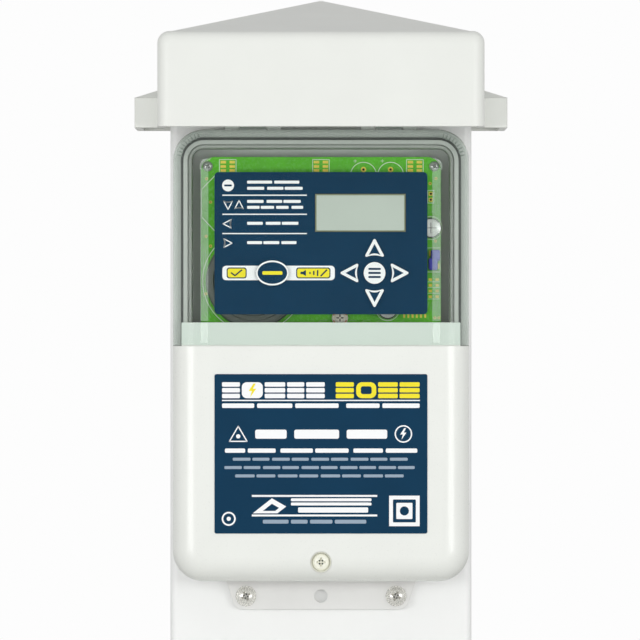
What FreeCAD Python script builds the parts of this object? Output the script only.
"""Post-mounted power monitor: a hooded vinyl post head with a windowed enclosure on its front face.

Frame: millimetres, +Z up, +X to the right, the front faces -Y.  The origin is the middle of the post's
bottom end.  "Depth" always means the distance in front of the post's centre line, so y = -depth.
"""
import FreeCAD, Part

import math
import os
import re

import Sketcher
from FreeCAD import Placement, Rotation, Vector

ORIGIN_POINT = -1
HORIZONTAL_AXIS = -1
VERTICAL_AXIS = -2
START, END, CENTRE = 1, 2, 3
ON_AXIS = 1e-9
SAME_PLACE = 1e-4

# Driving dimensions, one alias per cell.
DIMENSIONS = {
    # hollow square post
    "post_width": 127, "post_wall": 3.8, "post_corner": 3.2, "post_top": 283,
    # how far a cut runs past the face it opens on
    "overshoot": 1,
    # outline shared by the enclosure base and its two covers
    "case_half": 62.2, "case_bottom": 55.3, "case_top": 245, "case_corner": 13, "case_wall": 3,
    # depths of the enclosure's joints and faces
    "base_front": 97, "shelf_depth": 3, "rim_inset": 4.4, "rim_wall": 1.8, "rim_front": 100.5,
    "cover_back": 98, "cover_front": 113.5, "edge_round": 10, "step_inset": 3, "step_depth": 107.5,
    "gasket_inset": 3.3, "gasket_front": 99.5,
    # the window laps over a lip on the lower cover
    "window_bottom": 154.5, "lap_gap": 0.4, "lip_top": 164,
    "lip_half": 58.6, "lip_back": 104.7, "lip_front": 106.5, "lip_round": 0.4,
    # window hinges
    "hinge_depth": 95.5, "hinge_height": 248.6, "hinge_offset": 28.6, "knuckle_radius": 3,
    "knuckle_half": 5.5, "lug_gap": 0.5, "lug_width": 5.75, "lug_flat": 0.1, "pin_radius": 1.5,
    "pin_play": 0.06, "pin_overhang": 0.4, "arm_back_low": 2.4, "arm_rise": 1, "arm_bend": 6.5,
    "arm_foot": 10.3, "arm_root": 0.6,
    # mounting tab and the screws that hold the base to the post
    "tab_half_top": 40, "tab_half_bottom": 36, "tab_bottom": 43, "tab_thick": 4, "tab_round": 4.5,
    "tab_screw_offset": 31.65, "tab_screw_height": 48.6, "spare_radius": 2.75,
    "upper_screw_height": 222, "screw_radius": 2.1, "head_radius": 3.7, "head_thick": 2.4,
    "washer_radius": 4.35, "washer_thick": 0.9, "anchor_depth": 54, "cross_width": 1.1,
    "cross_length": 4.4, "cross_sink": 1.3,
    # captive cover screw
    "cover_screw_height": 63.4, "captive_radius": 2, "captive_head": 3.6, "captive_head_back": 110.3,
    "captive_head_front": 112.1, "captive_tip": 94, "bush_radius": 4.35, "bush_back": 109.6,
    "bush_floor": 110.2, "bush_front": 112.4, "bush_bore": 2.3, "bush_wall": 0.4, "seat_radius": 4.4,
    "pillar_radius": 5.2, "pillar_back": 102.1, "boss_radius": 5, "boss_bore": 2.9,
    "boss_bore_deep": 10, "rim_notch": 3.6, "retainer_back": 100.9, "retainer_thick": 0.8,
    "retainer_radius": 4.2,
    # label on the lower cover
    "label_half": 44.65, "label_bottom": 75.4, "label_top": 142.3, "label_thick": 0.3,
    "label_round": 0.8,
    # cable gland through the base's back wall into the post
    "gland_offset": -30, "gland_height": 82, "gland_thread": 8, "gland_hole": 8.1, "gland_bore": 5.2,
    "gland_inner": 76, "gland_outer": 44, "flange_back": 54, "flange_radius": 12.5,
    "nut_radius": 11.5, "locknut_thick": 4, "dome_back": 40, "dome_wall": 3.6, "dome_hole": 4.6,
    "seal_outer": 5.1, "seal_bore": 4, "seal_back": 44, "seal_front": 52,
    # main circuit board
    "board_half": 50.5, "board_bottom": 108, "board_top": 233.6, "board_corner": 6,
    "board_back": 89, "board_front": 90.6, "board_screw_offset": 47.6, "board_screw_low": 112,
    "board_screw_high": 229.6, "stud_radius": 3.5, "board_screw_radius": 1.2,
    "board_screw_head": 2.15, "board_screw_tip": 80, "board_screw_front": 92.4,
    # parts on the main board; "tall" is how far each stands off the board
    "sounder_x": -28.3, "sounder_z": 181.5, "sounder_radius": 20, "sounder_tall": 8.4,
    "side_can_x": 46.2, "side_can_z": 203.7, "side_can_radius": 4.3, "side_can_tall": 8,
    "low_can_x": 28.1, "low_can_z": 169.7, "low_can_radius": 4.4, "low_can_tall": 8,
    "upper_lobe_left": 46.6, "upper_lobe_right": 50.1, "upper_lobe_low": 190.3,
    "upper_lobe_high": 194.6, "upper_lobe_tall": 5.5,
    "lower_lobe_left": 45.2, "lower_lobe_right": 48.7, "lower_lobe_low": 185.9,
    "lower_lobe_high": 190.5, "lower_lobe_tall": 5.5,
    "trimmer_x": 8, "trimmer_z": 165.9, "trimmer_radius": 3.4, "trimmer_tall": 3.2,
    "relay_left": -45, "relay_right": -26, "relay_low": 128, "relay_high": 144, "relay_tall": 15.4,
    "power_left": -20, "power_right": 14, "power_low": 124, "power_high": 148, "power_tall": 15.4,
    "reservoir_x": 28, "reservoir_z": 136, "reservoir_radius": 5, "reservoir_tall": 12.5,
    "chip_left": 20, "chip_right": 32, "chip_low": 151, "chip_high": 163, "chip_tall": 1.6,
    "header_left": 5, "header_right": 30, "header_low": 206, "header_high": 208.5,
    "header_tall": 9.4,
    # terminal block
    "terminal_left": -36, "terminal_pitch": 5.08, "terminal_low": 109.5, "terminal_high": 120,
    "terminal_tall": 11.4, "wire_half": 1.5, "wire_low": 1.5, "wire_high": 5.5, "wire_deep": 6,
    "well_drop": 4, "well_radius": 1.9, "well_floor": 7, "clamp_radius": 1.8, "clamp_tall": 2,
    "clamp_slot": 0.3, "clamp_slot_deep": 0.6,
    # fuse in its two clips
    "fuse_left": 8, "fuse_right": 28, "fuse_z": 114, "fuse_axis": 5, "fuse_radius": 2.6,
    "clip_wide": 5, "clip_margin": 0.5, "clip_tall": 7, "clip_half": 3.6, "clip_mouth": 2.3,
    # backup battery in its tray
    "battery_left": 6, "battery_right": 54.5, "battery_low": 72, "battery_high": 98.5,
    "battery_back": 70, "battery_front": 87, "tray_front": 80, "tray_wall": 1.4, "tray_play": 0.1,
    # keypad stack in front of the board
    "keypad_board_half": 43, "keypad_board_low": 169, "keypad_board_high": 225.5,
    "keypad_board_back": 100, "keypad_board_front": 101.2, "keypad_board_corner": 1.5,
    "spacer_radius": 2.5, "spacer_side": 40, "spacer_inner": -3, "spacer_low": 172.5,
    "spacer_high": 222.5, "foot_inner": 41.7, "foot_outer": 43.7, "foot_low": 169.5,
    "foot_high": 223, "foot_tall": 2,
    "panel_half": 44.7, "panel_low": 167.4, "panel_high": 227.1, "panel_corner": 1.7,
    "panel_back": 104.4, "panel_front": 106, "dome_front": 102.4, "dome_radius": 2.6,
    "key_back": 106.5, "key_front": 107.5, "stem_radius": 1.5, "stem_hole": 1.8, "stem_back": 102.9,
    "flange_low": 103.3, "flange_high": 104.1, "flange_round": 2.4,
    "pad_offset": 22.5, "pad_height": 184.75, "menu_radius": 4.56, "arrow_apex": 14.9,
    "arrow_base": 6.15, "arrow_half": 4.6, "arrow_hollow": 1.25, "arrow_stem": 9.2,
    "arrow_round": 0.55,
    "silence_offset": -20.4, "silence_major": 6.96, "silence_minor": 5.3,
    # display
    "display_left": -2.6, "display_right": 35.7, "display_low": 201.9, "display_high": 218.1,
    "display_frame": 2.4, "display_front": 104.2, "glass_front": 105.6, "glass_play": 0.2,
    # post cap with its rain hood
    "hood_half": 68.5, "hood_front": 136, "hood_bottom": 246, "hood_top": 286, "hood_round": 5,
    "cap_wall": 3, "skirt_half": 78.5, "skirt_top": 258.6, "skirt_slope": 3.25, "roof_inset": 6,
    "roof_top": 300, "roof_tip": 0.5, "collar_play": 0.4, "collar_wall": 2.5, "collar_bottom": 262,
}

doc = FreeCAD.newDocument("power_monitor_post")
dims = doc.addObject("Spreadsheet::Sheet", "dims")
for row, (alias, size) in enumerate(DIMENSIONS.items(), start=1):
    dims.set("A%d" % row, alias)
    dims.set("B%d" % row, str(size))
    dims.setAlias("B%d" % row, alias)
doc.recompute()

nodes = []


# ---------------------------------------------------------------- sizes and labels

def bound(expression):
    """The expression with each alias written as a reference to the sheet."""
    def refer(match):
        word = match.group(0)
        return "dims." + word if word in DIMENSIONS else word
    return re.sub(r"[A-Za-z_]\w*", refer, str(expression))


def value(expression):
    return float(dims.evalExpression(bound(expression)))


def bind(item, prop, expression):
    item.setExpression(prop, bound(expression))


def node(item, label):
    """Names a finished sub-part, which is written to a file of that name."""
    item.Label = label
    nodes.append(item)
    return item


# ---------------------------------------------------------------- sketches

def sketch_in(body, role, offset):
    """Sketch on one of the body's origin planes.  On XZ_Plane the offset is a depth."""
    sketch = body.newObject("Sketcher::SketchObject", "sketch")
    plane = [item for item in body.Origin.OriginFeatures if item.Role == role][0]
    sketch.AttachmentSupport = (plane, [""])
    sketch.MapMode = "FlatFace"
    bind(sketch, "AttachmentOffset.Base.z", offset)
    return sketch


def hold(sketch, kind, geometry, point, expression):
    """Ties a point's distance from the sketch's origin to the sheet."""
    size = value(expression)
    if abs(size) < ON_AXIS:
        axis = VERTICAL_AXIS if kind == "DistanceX" else HORIZONTAL_AXIS
        sketch.addConstraint(Sketcher.Constraint("PointOnObject", geometry, point, axis))
        return
    index = sketch.addConstraint(
        Sketcher.Constraint(kind, ORIGIN_POINT, START, geometry, point, size))
    bind(sketch, "Constraints[%d]" % index, expression)


def circle(sketch, x, up, radius):
    centre = Vector(value(x), value(up), 0)
    index = sketch.addGeometry(Part.Circle(centre, Vector(0, 0, 1), value(radius)))
    hold(sketch, "DistanceX", index, CENTRE, x)
    hold(sketch, "DistanceY", index, CENTRE, up)
    size = sketch.addConstraint(Sketcher.Constraint("Radius", index, value(radius)))
    bind(sketch, "Constraints[%d]" % size, radius)


def outline(sketch, left, right, bottom, top, radii=(0, 0, 0, 0)):
    """Rectangle with a radius for each corner: bottom left, bottom right, top right, top left."""
    x0, x1, y0, y1 = (value(side) for side in (left, right, bottom, top))
    corners = [(x0, y0, 1, 1), (x1, y0, -1, 1), (x1, y1, -1, -1), (x0, y1, 1, -1)]
    sizes = [value(radius) for radius in radii]
    ends = []
    for index in range(4):
        following = (index + 1) % 4
        start_x, start_y, start_in_x, start_in_y = corners[index]
        end_x, end_y, end_in_x, end_in_y = corners[following]
        along_x = index % 2 == 0
        start = Vector(start_x + (start_in_x * sizes[index] if along_x else 0),
                       start_y + (0 if along_x else start_in_y * sizes[index]), 0)
        end = Vector(end_x + (end_in_x * sizes[following] if along_x else 0),
                     end_y + (0 if along_x else end_in_y * sizes[following]), 0)
        ends.append((start, end))
    lines = [sketch.addGeometry(Part.LineSegment(start, end)) for start, end in ends]
    for index, line in enumerate(lines):
        kind = "Horizontal" if index % 2 == 0 else "Vertical"
        sketch.addConstraint(Sketcher.Constraint(kind, line))
    for index, (x, y, in_x, in_y) in enumerate(corners):
        before = lines[index - 1]
        after = lines[index]
        radius = sizes[index]
        if radius == 0:
            sketch.addConstraint(Sketcher.Constraint("Coincident", before, END, after, START))
            continue
        rim = Part.Circle(Vector(x + in_x * radius, y + in_y * radius, 0), Vector(0, 0, 1), radius)
        first = math.pi + index * math.pi / 2
        arc = sketch.addGeometry(Part.ArcOfCircle(rim, first, first + math.pi / 2))
        sketch.addConstraint(Sketcher.Constraint("Tangent", before, END, arc, START))
        sketch.addConstraint(Sketcher.Constraint("Tangent", arc, END, after, START))
        size = sketch.addConstraint(Sketcher.Constraint("Radius", arc, radius))
        bind(sketch, "Constraints[%d]" % size, radii[index])
    hold(sketch, "DistanceY", lines[0], START, bottom)
    hold(sketch, "DistanceX", lines[1], START, right)
    hold(sketch, "DistanceY", lines[2], START, top)
    hold(sketch, "DistanceX", lines[3], START, left)


def polygon(sketch, points):
    """Closed outline whose corners are (x, up) pairs of expressions."""
    places = [Vector(value(x), value(up), 0) for x, up in points]
    lines = [sketch.addGeometry(Part.LineSegment(places[i], places[(i + 1) % len(places)]))
             for i in range(len(places))]
    for index, line in enumerate(lines):
        sketch.addConstraint(
            Sketcher.Constraint("Coincident", lines[index - 1], END, line, START))
        hold(sketch, "DistanceX", line, START, points[index][0])
        hold(sketch, "DistanceY", line, START, points[index][1])


# ---------------------------------------------------------------- features

def new_body():
    return doc.addObject("PartDesign::Body", "body")


def pad(body, sketch, length):
    feature = body.newObject("PartDesign::Pad", "pad")
    feature.Profile = sketch
    bind(feature, "Length", length)
    return feature


def pocket(body, sketch, length):
    """Cuts against the sketch's normal, which on XZ_Plane is from the front towards the back."""
    feature = body.newObject("PartDesign::Pocket", "pocket")
    feature.Profile = sketch
    bind(feature, "Length", length)
    return feature


def loft(body, kind, lower, upper):
    feature = body.newObject(kind, "loft")
    feature.Profile = lower
    feature.Sections = [upper]
    feature.Ruled = True
    return feature


def fillet(body, base, radius, chosen):
    """Rounds the edges of a feature for which chosen(edge) is true."""
    doc.recompute()
    names = ["Edge%d" % (i + 1) for i, edge in enumerate(base.Shape.Edges) if chosen(edge)]
    feature = body.newObject("PartDesign::Fillet", "fillet")
    feature.Base = (base, names)
    bind(feature, "Radius", radius)
    return feature


def flat_at_depth(edge, depth):
    box = edge.BoundBox
    return abs(box.YMin + depth) < SAME_PLACE and abs(box.YMax + depth) < SAME_PLACE


def flat_at_height(edge, height):
    box = edge.BoundBox
    return abs(box.ZMin - height) < SAME_PLACE and abs(box.ZMax - height) < SAME_PLACE


def slab(body, left, right, bottom, top, back, front, radii=(0, 0, 0, 0)):
    """Pads a rounded rectangle between two depths."""
    sketch = sketch_in(body, "XZ_Plane", back)
    outline(sketch, left, right, bottom, top, radii)
    return pad(body, sketch, "%s - (%s)" % (front, back))


def hollow(body, left, right, bottom, top, back, front, radii=(0, 0, 0, 0)):
    """Cuts a rounded rectangle between two depths."""
    sketch = sketch_in(body, "XZ_Plane", front)
    outline(sketch, left, right, bottom, top, radii)
    return pocket(body, sketch, "%s - (%s)" % (front, back))


def drill(body, places, radius, back, front):
    """Cuts round holes between two depths at (x, height) pairs."""
    sketch = sketch_in(body, "XZ_Plane", front)
    for x, up in places:
        circle(sketch, x, up, radius)
    return pocket(body, sketch, "%s - (%s)" % (front, back))


def studs(body, places, radius, back, front):
    """Pads round posts between two depths at (x, height) pairs."""
    sketch = sketch_in(body, "XZ_Plane", back)
    for x, up in places:
        circle(sketch, x, up, radius)
    return pad(body, sketch, "%s - (%s)" % (front, back))


def block(left, right, back, front, bottom, top):
    item = doc.addObject("Part::Box", "block")
    bind(item, "Length", "%s - (%s)" % (right, left))
    bind(item, "Width", "%s - (%s)" % (front, back))
    bind(item, "Height", "%s - (%s)" % (top, bottom))
    bind(item, "Placement.Base.x", left)
    bind(item, "Placement.Base.y", "0 - (%s)" % front)
    bind(item, "Placement.Base.z", bottom)
    return item


def rod(x, up, radius, back, front):
    """Cylinder along the depth."""
    item = doc.addObject("Part::Cylinder", "rod")
    item.Placement = Placement(Vector(), Rotation(Vector(1, 0, 0), 90))
    bind(item, "Radius", radius)
    bind(item, "Height", "%s - (%s)" % (front, back))
    bind(item, "Placement.Base.x", x)
    bind(item, "Placement.Base.y", "0 - (%s)" % back)
    bind(item, "Placement.Base.z", up)
    return item


def cross_rod(left, right, depth, up, radius):
    """Cylinder along X."""
    item = doc.addObject("Part::Cylinder", "rod")
    item.Placement = Placement(Vector(), Rotation(Vector(0, 1, 0), 90))
    bind(item, "Radius", radius)
    bind(item, "Height", "%s - (%s)" % (right, left))
    bind(item, "Placement.Base.x", left)
    bind(item, "Placement.Base.y", "0 - (%s)" % depth)
    bind(item, "Placement.Base.z", up)
    return item


def hexagon(x, up, radius, back, front):
    """Hexagonal prism along the depth, radius across corners."""
    item = doc.addObject("Part::Prism", "hexagon")
    item.Polygon = 6
    item.Placement = Placement(Vector(), Rotation(Vector(1, 0, 0), 90))
    bind(item, "Circumradius", radius)
    bind(item, "Height", "%s - (%s)" % (front, back))
    bind(item, "Placement.Base.x", x)
    bind(item, "Placement.Base.y", "0 - (%s)" % back)
    bind(item, "Placement.Base.z", up)
    return item


def fuse(*items):
    result = doc.addObject("Part::MultiFuse", "union")
    result.Shapes = list(items)
    return result


def cut(base, *tools):
    for tool in tools:
        result = doc.addObject("Part::Cut", "cut")
        result.Base = base
        result.Tool = tool
        base = result
    return base


def group(*items):
    """Identical loose pieces kept together as separate solids."""
    result = doc.addObject("Part::Compound", "group")
    result.Links = list(items)
    return result


# ---------------------------------------------------------------- post

POST_FACE = "post_width / 2"
BOTH_SIDES = ("", "-1 * ")
TAB_SCREWS = [(side + "tab_screw_offset", "tab_screw_height") for side in BOTH_SIDES]
UPPER_SCREWS = [(side + "tab_screw_offset", "upper_screw_height") for side in BOTH_SIDES]
SPARE_HOLE = [("0", "tab_screw_height")]
GLAND = ("gland_offset", "gland_height")


def make_post():
    body = new_body()
    sketch = sketch_in(body, "XY_Plane", "0")
    outline(sketch, "-1 * post_width / 2", POST_FACE, "-1 * post_width / 2", POST_FACE,
            ("post_corner",) * 4)
    inner = "post_width / 2 - post_wall"
    outline(sketch, "post_wall - post_width / 2", inner, "post_wall - post_width / 2", inner)
    pad(body, sketch, "post_top")
    past_wall = POST_FACE + " + overshoot"
    inside = POST_FACE + " - post_wall - overshoot"
    drill(body, TAB_SCREWS + UPPER_SCREWS, "screw_radius", inside, past_wall)
    drill(body, [GLAND], "gland_hole", inside, past_wall)
    node(body, "post")


# ---------------------------------------------------------------- enclosure base

BOARD_SCREWS = [(side + "board_screw_offset", height) for side in BOTH_SIDES
                for height in ("board_screw_low", "board_screw_high")]
COVER_SCREW = [("0", "cover_screw_height")]


def inset_outline(inset):
    """Sides and corner radii of the case outline, moved inwards by inset."""
    sides = ["%s - case_half" % inset, "case_half - (%s)" % inset,
             "case_bottom + %s" % inset, "case_top - (%s)" % inset]
    return sides, ("case_corner - (%s)" % inset,) * 4


def hinge_pieces(body, half_gap, width):
    """Pads one lug either side of each hinge's centre plane."""
    top_round = "knuckle_radius - lug_flat"
    for centre in ("hinge_offset", "-1 * hinge_offset"):
        for start in ("%s + %s" % (centre, half_gap), "%s - (%s) - %s" % (centre, half_gap, width)):
            sketch = sketch_in(body, "YZ_Plane", start)
            outline(sketch, "0 - hinge_depth - knuckle_radius", "knuckle_radius - hinge_depth",
                    "case_top", "hinge_height + knuckle_radius",
                    (top_round, "0", top_round, top_round))
            pad(body, sketch, width)


def hinge_bores(body, radius):
    for centre in ("hinge_offset", "-1 * hinge_offset"):
        reach = "knuckle_half + lug_gap + lug_width + overshoot"
        sketch = sketch_in(body, "YZ_Plane", "%s + %s" % (centre, reach))
        circle(sketch, "0 - hinge_depth", "hinge_height", radius)
        pocket(body, sketch, "2 * (%s)" % reach)


def make_enclosure_base():
    body = new_body()
    sides, radii = inset_outline("0")
    slab(body, *sides, POST_FACE, "base_front", radii)
    sides, radii = inset_outline("case_wall")
    inner_back = "post_width / 2 + case_wall"
    hollow(body, *sides, inner_back, "base_front - shelf_depth", radii)
    sides, radii = inset_outline("rim_inset + rim_wall")
    hollow(body, *sides, "base_front - shelf_depth", "base_front", radii)
    rim = sketch_in(body, "XZ_Plane", "base_front")
    for inset in ("rim_inset", "rim_inset + rim_wall"):
        sides, radii = inset_outline(inset)
        outline(rim, *sides, radii)
    pad(body, rim, "rim_front - base_front")
    studs(body, BOARD_SCREWS, "stud_radius", inner_back, "board_back")
    studs(body, COVER_SCREW, "boss_radius", inner_back, "base_front")
    drill(body, BOARD_SCREWS, "board_screw_radius", "board_screw_tip - overshoot", "board_back")
    drill(body, COVER_SCREW, "boss_bore", "base_front - boss_bore_deep", "base_front")
    rim_foot = "case_bottom + rim_inset"
    hollow(body, "-1 * rim_notch", "rim_notch", rim_foot, rim_foot + " + rim_wall", "base_front",
           "rim_front")
    tab = sketch_in(body, "XZ_Plane", POST_FACE)
    tab_top = "case_bottom + case_wall"
    polygon(tab, [("-1 * tab_half_bottom", "tab_bottom"), ("tab_half_bottom", "tab_bottom"),
                  ("tab_half_top", "case_bottom"), ("tab_half_top", tab_top),
                  ("-1 * tab_half_top", tab_top), ("-1 * tab_half_top", "case_bottom")])
    tab_pad = pad(body, tab, "tab_thick")
    low = value("tab_bottom")
    fillet(body, tab_pad, "tab_round",
           lambda edge: len(edge.Vertexes) == 2 and flat_at_height(edge, low)
           and edge.BoundBox.XLength < SAME_PLACE)
    back = POST_FACE + " - overshoot"
    drill(body, TAB_SCREWS, "screw_radius", back, "post_width / 2 + tab_thick")
    drill(body, SPARE_HOLE, "spare_radius", back, "post_width / 2 + tab_thick")
    drill(body, UPPER_SCREWS, "screw_radius", back, inner_back)
    drill(body, [GLAND], "gland_hole", back, inner_back)
    hinge_pieces(body, "(knuckle_half + lug_gap)", "lug_width")
    hinge_bores(body, "pin_radius")
    node(body, "enclosure_base")


def make_base_gasket():
    body = new_body()
    sketch = sketch_in(body, "XZ_Plane", "base_front")
    for inset in ("gasket_inset", "rim_inset"):
        sides, radii = inset_outline(inset)
        outline(sketch, *sides, radii)
    pad(body, sketch, "gasket_front - base_front")
    node(body, "base_gasket")


def make_hinge_pins():
    reach = "(knuckle_half + lug_gap + lug_width + pin_overhang)"
    pins = [cross_rod("%s - %s" % (centre, reach), "%s + %s" % (centre, reach),
                      "hinge_depth", "hinge_height", "pin_radius")
            for centre in ("hinge_offset", "-1 * hinge_offset")]
    node(group(*pins), "hinge_pins")


# ---------------------------------------------------------------- fasteners

def cross_screw(x, up, seat, tip):
    """Cross-recessed pan head whose underside is at depth seat and whose end is at depth tip."""
    head = rod(x, up, "head_radius", seat, seat + " + head_thick")
    shank = rod(x, up, "screw_radius", tip, seat)
    return cut(fuse(head, shank), *cross_recess(x, up, seat + " + head_thick"))


def cross_recess(x, up, front):
    """The two slots of a cross recess that opens at depth front."""
    floor = "%s - cross_sink" % front
    mouth = "%s + overshoot" % front
    half_long, half_wide = "cross_length / 2", "cross_width / 2"
    return [block("%s - %s" % (x, across), "%s + %s" % (x, across), floor, mouth,
                  "%s - %s" % (up, upward), "%s + %s" % (up, upward))
            for across, upward in ((half_long, half_wide), (half_wide, half_long))]


def make_base_fasteners():
    tab_face = "post_width / 2 + tab_thick"
    washers = [cut(rod(x, up, "washer_radius", tab_face, tab_face + " + washer_thick"),
                   rod(x, up, "screw_radius", tab_face, tab_face + " + washer_thick"))
               for x, up in TAB_SCREWS]
    node(group(*washers), "tab_washers")
    tab_screws = [cross_screw(x, up, tab_face + " + washer_thick", "anchor_depth")
                  for x, up in TAB_SCREWS]
    node(group(*tab_screws), "tab_screws")
    upper = [cross_screw(x, up, "post_width / 2 + case_wall", "anchor_depth")
             for x, up in UPPER_SCREWS]
    node(group(*upper), "upper_screws")
    board = [fuse(rod(x, up, "board_screw_head", "board_front", "board_screw_front"),
                  rod(x, up, "board_screw_radius", "board_screw_tip", "board_front"))
             for x, up in BOARD_SCREWS]
    node(group(*board), "board_screws")


# ---------------------------------------------------------------- cable gland

def make_cable_gland():
    thread = rod(*GLAND, "gland_thread", "gland_outer", "gland_inner")
    flange = hexagon(*GLAND, "flange_radius", "flange_back", "post_width / 2 - post_wall")
    node(cut(fuse(thread, flange), rod(*GLAND, "gland_bore", "gland_outer", "gland_inner")),
         "cable_gland")
    inner_back = "post_width / 2 + case_wall"
    locknut = cut(hexagon(*GLAND, "nut_radius", inner_back, inner_back + " + locknut_thick"),
                  rod(*GLAND, "gland_thread", inner_back, inner_back + " + locknut_thick"))
    node(locknut, "gland_locknut")
    dome = cut(hexagon(*GLAND, "nut_radius", "dome_back", "flange_back"),
               rod(*GLAND, "gland_thread", "dome_back + dome_wall", "flange_back"),
               rod(*GLAND, "dome_hole", "dome_back", "dome_back + dome_wall"))
    node(dome, "gland_dome_nut")
    seal = cut(rod(*GLAND, "seal_outer", "seal_back", "seal_front"),
               rod(*GLAND, "seal_bore", "seal_back", "seal_front"))
    node(seal, "gland_seal")


# ---------------------------------------------------------------- covers

def make_window_cover():
    body = new_body()
    top_round = ("0", "0", "case_corner", "case_corner")
    shell = slab(body, "-1 * case_half", "case_half", "window_bottom", "case_top",
                 "cover_back", "cover_front", top_round)
    front_depth, base_line = value("cover_front"), value("window_bottom")
    fillet(body, shell, "edge_round",
           lambda edge: flat_at_depth(edge, front_depth) and not flat_at_height(edge, base_line))
    inner_corner = "case_corner - case_wall"
    hollow(body, "case_wall - case_half", "case_half - case_wall", "window_bottom",
           "case_top - case_wall", "cover_back", "step_depth",
           ("0", "0", inner_corner, inner_corner))
    deep = "(case_wall + step_inset)"
    deep_corner = "case_corner - %s" % deep
    hollow(body, "%s - case_half" % deep, "case_half - %s" % deep, "window_bottom",
           "case_top - %s" % deep, "step_depth", "cover_front - case_wall",
           ("0", "0", deep_corner, deep_corner))
    for centre in ("hinge_offset", "-1 * hinge_offset"):
        start = "%s - knuckle_half" % centre
        arm = sketch_in(body, "YZ_Plane", start)
        polygon(arm, [("0 - hinge_depth", "hinge_height - arm_back_low"),
                      ("0 - hinge_depth", "hinge_height + arm_rise"),
                      ("0 - hinge_depth - arm_bend", "hinge_height + arm_rise"),
                      ("0 - hinge_depth - arm_foot", "case_top - arm_root"),
                      ("0 - cover_back - arm_root", "case_top - arm_root"),
                      ("0 - cover_back", "hinge_height - arm_back_low")])
        pad(body, arm, "2 * knuckle_half")
        knuckle = sketch_in(body, "YZ_Plane", start)
        circle(knuckle, "0 - hinge_depth", "hinge_height", "knuckle_radius")
        pad(body, knuckle, "2 * knuckle_half")
    hinge_bores(body, "pin_radius + pin_play")
    node(body, "window_cover")


def make_lower_cover():
    body = new_body()
    lower_top = "window_bottom - lap_gap"
    low_round = ("case_corner", "case_corner", "0", "0")
    shell = slab(body, "-1 * case_half", "case_half", "case_bottom", lower_top,
                 "cover_back", "cover_front", low_round)
    front_depth, top_line = value("cover_front"), value(lower_top)
    fillet(body, shell, "edge_round",
           lambda edge: flat_at_depth(edge, front_depth) and not flat_at_height(edge, top_line))
    inner_corner = "case_corner - case_wall"
    inner_round = (inner_corner, inner_corner, "0", "0")
    inner_sides = ("case_wall - case_half", "case_half - case_wall", "case_bottom + case_wall")
    hollow(body, *inner_sides, lower_top, "cover_back", "lip_back", inner_round)
    top_wall = "window_bottom - lap_gap - case_wall"
    hollow(body, *inner_sides, top_wall, "lip_back", "step_depth", inner_round)
    deep = "(case_wall + step_inset)"
    deep_corner = "case_corner - %s" % deep
    hollow(body, "%s - case_half" % deep, "case_half - %s" % deep, "case_bottom + %s" % deep,
           top_wall, "step_depth", "cover_front - case_wall",
           (deep_corner, deep_corner, "0", "0"))
    slab(body, "-1 * lip_half", "lip_half", top_wall, "lip_top", "lip_back", "lip_front",
         ("0", "0", "lip_round", "lip_round"))
    studs(body, COVER_SCREW, "pillar_radius", "pillar_back", "cover_front - case_wall")
    drill(body, COVER_SCREW, "seat_radius", "bush_back", "cover_front")
    drill(body, COVER_SCREW, "bush_bore", "pillar_back", "cover_front")
    node(body, "lower_cover")
    label = new_body()
    slab(label, "-1 * label_half", "label_half", "label_bottom", "label_top", "cover_front",
         "cover_front + label_thick", ("label_round",) * 4)
    node(label, "label_plate")


def make_cover_screw():
    x, up = COVER_SCREW[0]
    bush = cut(rod(x, up, "bush_radius", "bush_back", "bush_front"),
               rod(x, up, "bush_radius - bush_wall", "bush_floor", "bush_front"),
               rod(x, up, "bush_bore", "bush_back", "bush_front"))
    node(bush, "screw_bush")
    head = rod(x, up, "captive_head", "captive_head_back", "captive_head_front")
    shank = rod(x, up, "captive_radius", "captive_tip", "captive_head_back")
    node(cut(fuse(head, shank), *cross_recess(x, up, "captive_head_front")), "cover_screw")
    retainer = cut(rod(x, up, "retainer_radius", "retainer_back", "retainer_back + retainer_thick"),
                   rod(x, up, "captive_radius", "retainer_back", "retainer_back + retainer_thick"))
    node(retainer, "screw_retainer")


# ---------------------------------------------------------------- electronics

def make_circuit_board():
    body = new_body()
    slab(body, "-1 * board_half", "board_half", "board_bottom", "board_top", "board_back",
         "board_front", ("board_corner",) * 4)
    drill(body, BOARD_SCREWS, "board_screw_radius", "board_back", "board_front")
    node(body, "circuit_board")


def board_block(name):
    """Block on the main board's front, sized by the aliases that begin with its name."""
    return block(name + "_left", name + "_right", "board_front", "board_front + %s_tall" % name,
                 name + "_low", name + "_high")


def board_can(name):
    """Round part on the main board's front, sized by the aliases that begin with its name."""
    return rod(name + "_x", name + "_z", name + "_radius", "board_front",
               "board_front + %s_tall" % name)


def make_board_parts():
    """Parts soldered to the main board; the ones below the lip are hidden by the lower cover."""
    node(board_can("sounder"), "sounder")
    node(group(board_can("side_can"), board_can("low_can")), "can_capacitors")
    node(fuse(board_block("upper_lobe"), board_block("lower_lobe")), "varistor")
    node(board_can("trimmer"), "trimmer")
    node(board_block("relay"), "relay")
    node(board_block("power"), "power_module")
    node(board_can("reservoir"), "reservoir_capacitor")
    node(board_block("chip"), "controller_chip")
    node(board_block("header"), "link_header")


TERMINAL_WAYS = 7


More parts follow.
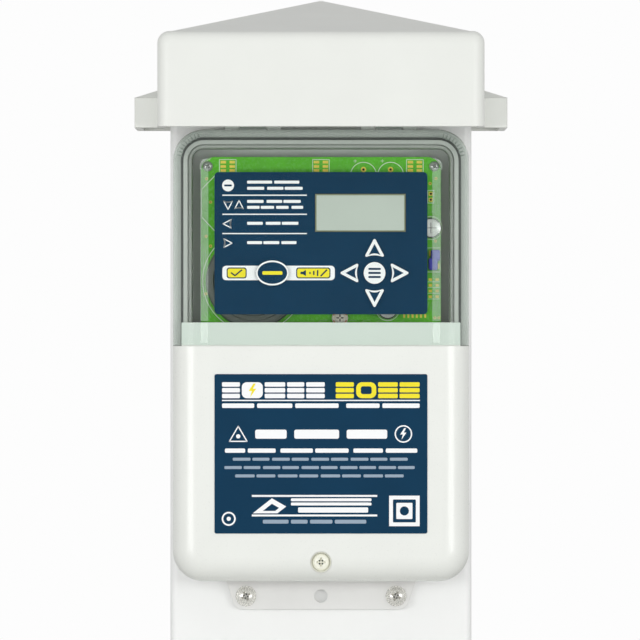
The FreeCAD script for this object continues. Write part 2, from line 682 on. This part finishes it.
def make_terminals():
    top = "board_front + terminal_tall"
    body = block("terminal_left", "terminal_left + %d * terminal_pitch" % TERMINAL_WAYS,
                 "board_front", top, "terminal_low", "terminal_high")
    middles = ["terminal_left + terminal_pitch * %s" % (way + 0.5) for way in range(TERMINAL_WAYS)]
    wire_holes = [block(middle + " - wire_half", middle + " + wire_half",
                        "board_front + wire_low", "board_front + wire_high",
                        "terminal_low - overshoot", "terminal_low + wire_deep")
                  for middle in middles]
    well_up, floor = "terminal_high - well_drop", "board_front + well_floor"
    wells = [rod(middle, well_up, "well_radius", floor, top + " + overshoot")
             for middle in middles]
    node(cut(body, *wire_holes, *wells), "terminal_block")
    head = floor + " + clamp_tall"
    screws = [cut(rod(middle, well_up, "clamp_radius", floor, head),
                  block(middle + " - wire_half", middle + " + wire_half",
                        head + " - clamp_slot_deep", head + " + overshoot",
                        well_up + " - clamp_slot", well_up + " + clamp_slot"))
              for middle in middles]
    node(group(*screws), "terminal_screws")


def make_fuse():
    depth = "board_front + fuse_axis"
    node(cross_rod("fuse_left", "fuse_right", depth, "fuse_z", "fuse_radius"), "fuse")
    clips = []
    for start in ("fuse_left", "fuse_right - clip_wide"):
        end = start + " + clip_wide"
        cradle = block(start + " + clip_margin", end + " - clip_margin", "board_front",
                       "board_front + clip_tall", "fuse_z - clip_half", "fuse_z + clip_half")
        mouth = block(start, end, depth, "board_front + clip_tall + overshoot",
                      "fuse_z - clip_mouth", "fuse_z + clip_mouth")
        clips.append(cut(cradle, cross_rod(start, end, depth, "fuse_z", "fuse_radius"), mouth))
    node(group(*clips), "fuse_clips")


def make_battery():
    node(block("battery_left", "battery_right", "battery_back", "battery_front", "battery_low",
               "battery_high"), "backup_battery")
    outer = "(tray_play + tray_wall)"
    tray = block("battery_left - " + outer, "battery_right + " + outer,
                 "post_width / 2 + case_wall", "tray_front",
                 "battery_low - " + outer, "battery_high + " + outer)
    room = block("battery_left - tray_play", "battery_right + tray_play", "battery_back",
                 "tray_front", "battery_low - tray_play", "battery_high + tray_play")
    node(cut(tray, room), "battery_tray")


# ---------------------------------------------------------------- keypad and display

KEY_STEMS = [("pad_offset", "pad_height"), ("pad_offset", "pad_height + arrow_stem"),
             ("pad_offset", "pad_height - arrow_stem"), ("pad_offset + arrow_stem", "pad_height"),
             ("pad_offset - arrow_stem", "pad_height"), ("silence_offset", "pad_height")]


def make_keypad():
    board = new_body()
    slab(board, "-1 * keypad_board_half", "keypad_board_half", "keypad_board_low",
         "keypad_board_high", "keypad_board_back", "keypad_board_front",
         ("keypad_board_corner",) * 4)
    node(board, "keypad_board")
    spacers = [rod(x, up, "spacer_radius", "board_front", "keypad_board_back")
               for x, up in (("-1 * spacer_side", "spacer_high"), ("spacer_side", "spacer_high"),
                             ("spacer_side", "spacer_low"), ("spacer_inner", "spacer_low"))]
    node(group(*spacers), "keypad_spacers")
    domes = [rod(x, up, "dome_radius", "keypad_board_front", "dome_front") for x, up in KEY_STEMS]
    node(group(*domes), "key_domes")
    panel = new_body()
    slab(panel, "-1 * panel_half", "panel_half", "panel_low", "panel_high", "panel_back",
         "panel_front", ("panel_corner",) * 4)
    hollow(panel, "display_left", "display_right", "display_low", "display_high", "panel_back",
           "panel_front")
    drill(panel, KEY_STEMS, "stem_hole", "panel_back", "panel_front")
    node(panel, "keypad_panel")
    edges = [("-1 * foot_outer", "-1 * foot_inner"), ("foot_inner", "foot_outer")]
    legs = [block(left, right, "keypad_board_front", "panel_back", low, low + " + foot_tall")
            for left, right in edges for low in ("foot_low", "foot_high")]
    node(group(*legs), "panel_feet")


def make_display():
    frame = block("display_left - display_frame", "display_right + display_frame",
                  "keypad_board_front", "display_front", "display_low - display_frame",
                  "display_high + display_frame")
    node(frame, "display_module")
    glass = block("display_left + glass_play", "display_right - glass_play", "display_front",
                  "glass_front", "display_low + glass_play", "display_high - glass_play")
    node(glass, "display_glass")


def key_stem(body, x, up):
    """Stem through the panel, with a flange behind it that keeps the key from falling out."""
    studs(body, [(x, up)], "stem_radius", "stem_back", "key_back")
    studs(body, [(x, up)], "flange_round", "flange_low", "flange_high")


def arrow_outline(sketch):
    """Arrowhead that points up from the pad's centre, with a base that curves inwards."""
    half, hollow_by, base_up = value("arrow_half"), value("arrow_hollow"), value("arrow_base")
    radius_rule = "(arrow_half * arrow_half + arrow_hollow * arrow_hollow) / (2 * arrow_hollow)"
    radius = value(radius_rule)
    apex = Vector(0, value("arrow_apex"), 0)
    centre = Vector(0, base_up + hollow_by - radius, 0)
    lean = math.asin(half / radius)
    rise = sketch.addGeometry(Part.LineSegment(Vector(half, base_up, 0), apex))
    fall = sketch.addGeometry(Part.LineSegment(apex, Vector(-half, base_up, 0)))
    rim = Part.Circle(centre, Vector(0, 0, 1), radius)
    base = sketch.addGeometry(
        Part.ArcOfCircle(rim, math.pi / 2 - lean, math.pi / 2 + lean))
    for first, second in (((rise, END), (fall, START)), ((fall, END), (base, END)),
                          ((base, START), (rise, START))):
        sketch.addConstraint(Sketcher.Constraint("Coincident", *first, *second))
    hold(sketch, "DistanceX", rise, START, "arrow_half")
    hold(sketch, "DistanceY", rise, START, "arrow_base")
    hold(sketch, "DistanceX", rise, END, "0")
    hold(sketch, "DistanceY", rise, END, "arrow_apex")
    hold(sketch, "DistanceX", fall, END, "-1 * arrow_half")
    hold(sketch, "DistanceY", fall, END, "arrow_base")
    size = sketch.addConstraint(Sketcher.Constraint("Radius", base, radius))
    bind(sketch, "Constraints[%d]" % size, radius_rule)


def make_keys():
    for name, turn in (("up", 0), ("right", 90), ("down", 180), ("left", 270)):
        body = new_body()
        sketch = sketch_in(body, "XZ_Plane", "key_back")
        arrow_outline(sketch)
        head = pad(body, sketch, "key_front - key_back")
        fillet(body, head, "arrow_round",
               lambda edge: edge.BoundBox.DiagonalLength - edge.BoundBox.YLength < SAME_PLACE)
        key_stem(body, "0", "arrow_stem")
        body.Placement = Placement(Vector(), Rotation(Vector(0, 1, 0), turn))
        bind(body, "Placement.Base.x", "pad_offset")
        bind(body, "Placement.Base.z", "pad_height")
        node(body, "key_" + name)
    menu = new_body()
    studs(menu, [("pad_offset", "pad_height")], "menu_radius", "key_back", "key_front")
    key_stem(menu, "pad_offset", "pad_height")
    node(menu, "key_menu")
    face = new_body()
    sketch = sketch_in(face, "XZ_Plane", "key_back")
    major, minor = value("silence_major"), value("silence_minor")
    centre = Vector(value("silence_offset"), value("pad_height"), 0)
    oval = sketch.addGeometry(Part.Ellipse(centre + Vector(major, 0, 0), centre + Vector(0, minor, 0),
                                           centre))
    hold(sketch, "DistanceX", oval, CENTRE, "silence_offset")
    hold(sketch, "DistanceY", oval, CENTRE, "pad_height")
    pad(face, sketch, "key_front - key_back")
    key_stem(face, "silence_offset", "pad_height")
    node(face, "key_silence")


# ---------------------------------------------------------------- post cap

def make_post_cap():
    body = new_body()
    hood_back = "hood_half"
    front = "0 - hood_front"
    sketch = sketch_in(body, "XY_Plane", "hood_bottom")
    outline(sketch, "-1 * hood_half", "hood_half", front, hood_back)
    hood = pad(body, sketch, "hood_top - hood_bottom")
    low = value("hood_bottom")
    fillet(body, hood, "hood_round", lambda edge: not flat_at_height(edge, low))

    def square(half, height):
        base = sketch_in(body, "XY_Plane", height)
        outline(base, "-1 * (%s)" % half, half, "-1 * (%s)" % half, half)
        return base

    pad(body, square("skirt_half", "hood_bottom"), "skirt_top - hood_bottom")
    loft(body, "PartDesign::AdditiveLoft", square("skirt_half", "skirt_top"),
         square("hood_half", "skirt_top + skirt_slope"))

    def roof_section(inset, height):
        section = sketch_in(body, "XY_Plane", height)
        outline(section, "%s - hood_half" % inset, "hood_half - (%s)" % inset,
                "%s - hood_front" % inset, "hood_half - (%s)" % inset)
        return section

    middle = "((hood_half - hood_front) / 2)"

    def roof_peak(height):
        section = sketch_in(body, "XY_Plane", height)
        outline(section, "-1 * roof_tip", "roof_tip", "%s - roof_tip" % middle,
                "%s + roof_tip" % middle)
        return section

    loft(body, "PartDesign::AdditiveLoft", roof_section("roof_inset", "hood_top"),
         roof_peak("roof_top"))
    inside = sketch_in(body, "XY_Plane", "hood_top - cap_wall")
    outline(inside, "cap_wall - hood_half", "hood_half - cap_wall", "cap_wall - hood_front",
            "hood_half - cap_wall")
    pocket(body, inside, "hood_top - cap_wall - hood_bottom")
    pocket(body, square("skirt_half - cap_wall", "skirt_top - cap_wall"),
           "skirt_top - cap_wall - hood_bottom")
    loft(body, "PartDesign::SubtractiveLoft",
         roof_section("roof_inset + 2 * cap_wall", "hood_top - cap_wall"),
         roof_peak("roof_top - 1.5 * cap_wall"))
    collar = sketch_in(body, "XY_Plane", "collar_bottom")
    for half in ("(post_width / 2 + collar_play)", "(post_width / 2 + collar_play + collar_wall)"):
        outline(collar, "-1 * " + half, half, "-1 * " + half, half)
    pad(body, collar, "hood_top - cap_wall - collar_bottom")
    node(body, "post_cap")


make_post()
make_enclosure_base()
make_base_gasket()
make_hinge_pins()
make_base_fasteners()
make_cable_gland()
make_window_cover()
make_lower_cover()
make_cover_screw()
make_circuit_board()
make_board_parts()
make_terminals()
make_fuse()
make_battery()
make_keypad()
make_display()
make_keys()
make_post_cap()
doc.recompute()

for item in doc.Objects:
    if "Invalid" in item.State or "Error" in item.State:
        raise RuntimeError("%s did not build: %s" % (item.Label, item.State))
for item in nodes:
    if item.Shape.isNull() or not item.Shape.isValid():
        raise RuntimeError("%s has no valid shape" % item.Label)

os.makedirs("parts", exist_ok=True)
for item in nodes:
    item.Shape.exportStep("parts/%s.step" % item.Label)
    print("%-20s %2d solid(s) %10.1f mm3" % (item.Label, len(item.Shape.Solids), item.Shape.Volume))
